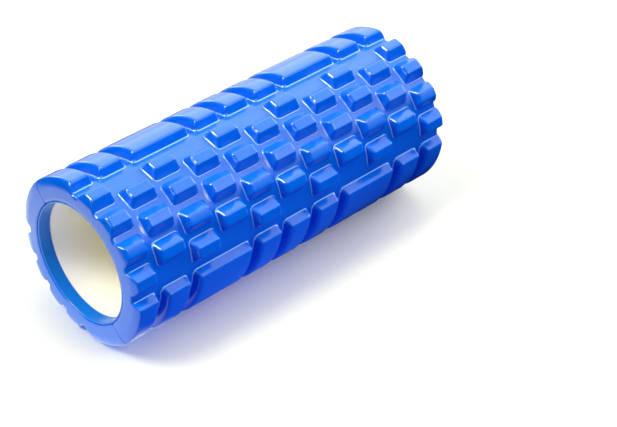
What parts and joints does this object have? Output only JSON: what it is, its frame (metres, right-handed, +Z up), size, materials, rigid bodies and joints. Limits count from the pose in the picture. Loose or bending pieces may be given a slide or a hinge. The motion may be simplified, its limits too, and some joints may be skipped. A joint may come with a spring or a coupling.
{
  "type": "foam roller",
  "caption": "Hollow massage roller: two moulded foam halves with a tread of tapered blocks and ring bars round a stiff tube, with a turned ring lining each mouth.",
  "frame": {"origin": "middle of the roller, on its axis", "axes": "+Y along the roller's axis, from the front end to the rear end; +Z up as the roller lies on a floor, resting on the flat between the outer row of blocks and the bars of its lower half"},
  "size_m": [0.1398, 0.33, 0.139],
  "materials": {
    "foam": "moulded closed-cell EVA foam with a smooth satin skin, saturated blue",
    "ring": "glossy moulded blue plastic",
    "tube": "smooth extruded cream-white plastic"
  },
  "bodies": {
    "root": {"core_tube": "tube", "end_ring_front": "ring", "end_ring_rear": "ring", "foam_half_upper": "foam", "foam_half_lower": "foam"}
  },
  "joints": []
}
